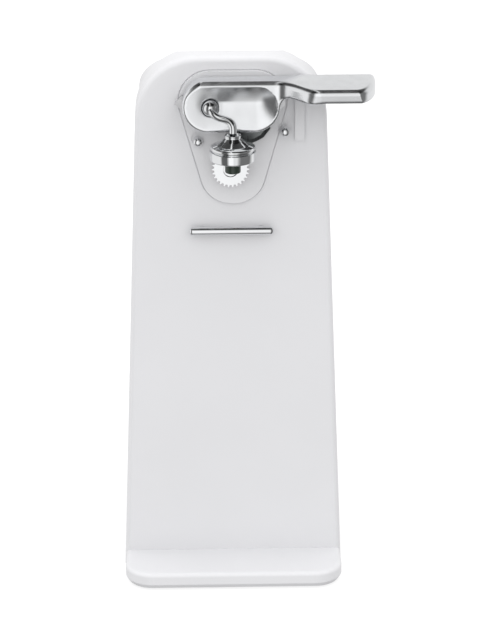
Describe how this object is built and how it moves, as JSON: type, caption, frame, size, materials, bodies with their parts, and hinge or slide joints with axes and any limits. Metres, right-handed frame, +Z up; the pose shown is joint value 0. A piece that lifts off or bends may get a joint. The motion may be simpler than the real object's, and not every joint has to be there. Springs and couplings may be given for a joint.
{
  "type": "electric can opener",
  "caption": "Upright electric can opener: a lever with blade and swinging magnet clamps the can rim to a geared drive wheel, and the lever's crank works the motor switch.",
  "frame": {"origin": "on the table, in the plane of the rubber ring's underside, below the middle of the body", "axes": "+Z up along the body's height, -Y towards the user's side with the lever, +X to the user's right, where the lever's handle points"},
  "size_m": [0.0995, 0.1138, 0.216],
  "materials": {
    "white_shell": "satin white moulded ABS, fine grain",
    "satin_chrome": "satin chrome plated zinc casting",
    "grey_cover": "matte",
    "rubber_ring": "matte",
    "black_gland": "matte",
    "bright_steel": "polished",
    "steel": "brushed",
    "zinc_screw": "zinc plated",
    "dark_steel": "blackened",
    "blade_steel": "ground edge",
    "magnet_black": "sintered ferrite",
    "bronze": "oil-filled sintered bronze",
    "gear_nylon": "nylon",
    "gear_steel": "machined",
    "brass": "stamped",
    "laminated_iron": "stacked laminations",
    "copper": "bare copper",
    "winding": "enamelled copper wire",
    "bobbin_nylon": "nylon",
    "switch_black": "phenolic",
    "slider_plastic": "nylon",
    "aluminium": "die cast"
  },
  "bodies": {
    "body": {"front_housing": "white_shell", "rear_housing": "white_shell", "base_cover": "grey_cover", "non_slip_ring": "rubber_ring", "base_screws": "zinc_screw", "housing_screws": "zinc_screw", "cord_gland": "black_gland", "guide_bar": "bright_steel", "guide_pins": "bright_steel", "lever_bushing": "bronze", "front_gear_plate": "steel", "rear_gear_plate": "steel", "plate_standoffs": "steel", "plate_screws": "zinc_screw", "gear_spindles": "steel", "drive_bushing": "bronze", "stator_core": "laminated_iron", "coil_core": "laminated_iron", "coil_bobbin": "bobbin_nylon", "coil_winding": "winding", "shading_rings": "copper", "front_motor_bracket": "aluminium", "rear_motor_bracket": "aluminium", "motor_bearings": "bronze", "motor_screws": "zinc_screw", "switch_body": "switch_black", "contact_leaf": "brass", "fixed_contact": "brass", "slider_spring": "steel"},
    "lever": {"activation_lever": "satin_chrome", "lever_backing_plate": "steel", "cutting_blade": "blade_steel", "blade_rivets": "steel", "lever_shaft": "steel", "lever_crank": "steel", "crank_retaining_ring": "dark_steel"},
    "magnet_arm": {"magnet_arm": "bright_steel"},
    "magnet_cup": {"magnet_cup": "bright_steel", "magnet": "magnet_black"},
    "drive": {"drive_shaft": "steel", "drive_wheel": "bright_steel", "wheel_hub_nut": "bright_steel", "drive_washer": "steel", "output_gear": "gear_nylon", "shaft_retaining_ring": "dark_steel"},
    "second_gear": {"second_gear": "gear_nylon"},
    "first_gear": {"first_gear": "gear_nylon"},
    "motor_rotor": {"rotor": "laminated_iron", "rotor_shaft": "steel", "motor_pinion": "gear_steel", "cooling_fan": "switch_black"},
    "switch_slider": {"switch_slider": "slider_plastic"}
  },
  "joints": [
    {"name": "lever_pivot", "type": "hinge", "parent": "body", "child": "lever", "pos_m": [-0.0086, -0.0329, 0.199], "axis": [0, -1, 0], "range_deg": [-4, 25], "stiffness_Nm_per_rad": 0.02, "springref_deg": 40.11},
    {"name": "slider_travel", "type": "slide", "parent": "body", "child": "switch_slider", "axis": [0, 0, 1], "range_m": [-0.0013, 0.0078], "deforming": ["slider_spring"]},
    {"name": "magnet_lift", "type": "hinge", "parent": "lever", "child": "magnet_arm", "pos_m": [-0.0081, -0.0402, 0.1986], "axis": [-1, 0, 0], "range_deg": [0, 60]},
    {"name": "magnet_spin", "type": "hinge", "parent": "magnet_arm", "child": "magnet_cup", "pos_m": [0.0003, -0.0474, 0.1802], "axis": [0, 0, 1], "continuous": true},
    {"name": "motor_spin", "type": "hinge", "parent": "body", "child": "motor_rotor", "pos_m": [-0.0004, 0, 0.11683], "axis": [0, -1, 0], "continuous": true},
    {"name": "first_gear_spin", "type": "hinge", "parent": "body", "child": "first_gear", "pos_m": [0.0026, 0, 0.13091], "axis": [0, -1, 0], "continuous": true},
    {"name": "second_gear_spin", "type": "hinge", "parent": "body", "child": "second_gear", "pos_m": [-0.0094, 0, 0.14691], "axis": [0, -1, 0], "continuous": true},
    {"name": "drive_spin", "type": "hinge", "parent": "body", "child": "drive", "pos_m": [-0.0004, 0, 0.1729], "axis": [0, -1, 0], "continuous": true}
  ],
  "couplings": [
    {"joint": "slider_travel", "follows": "lever_pivot", "m_per_rad": 0.0168},
    {"joint": "first_gear_spin", "follows": "motor_spin", "ratio": -0.2},
    {"joint": "second_gear_spin", "follows": "motor_spin", "ratio": 0.05},
    {"joint": "drive_spin", "follows": "motor_spin", "ratio": -0.011111}
  ]
}
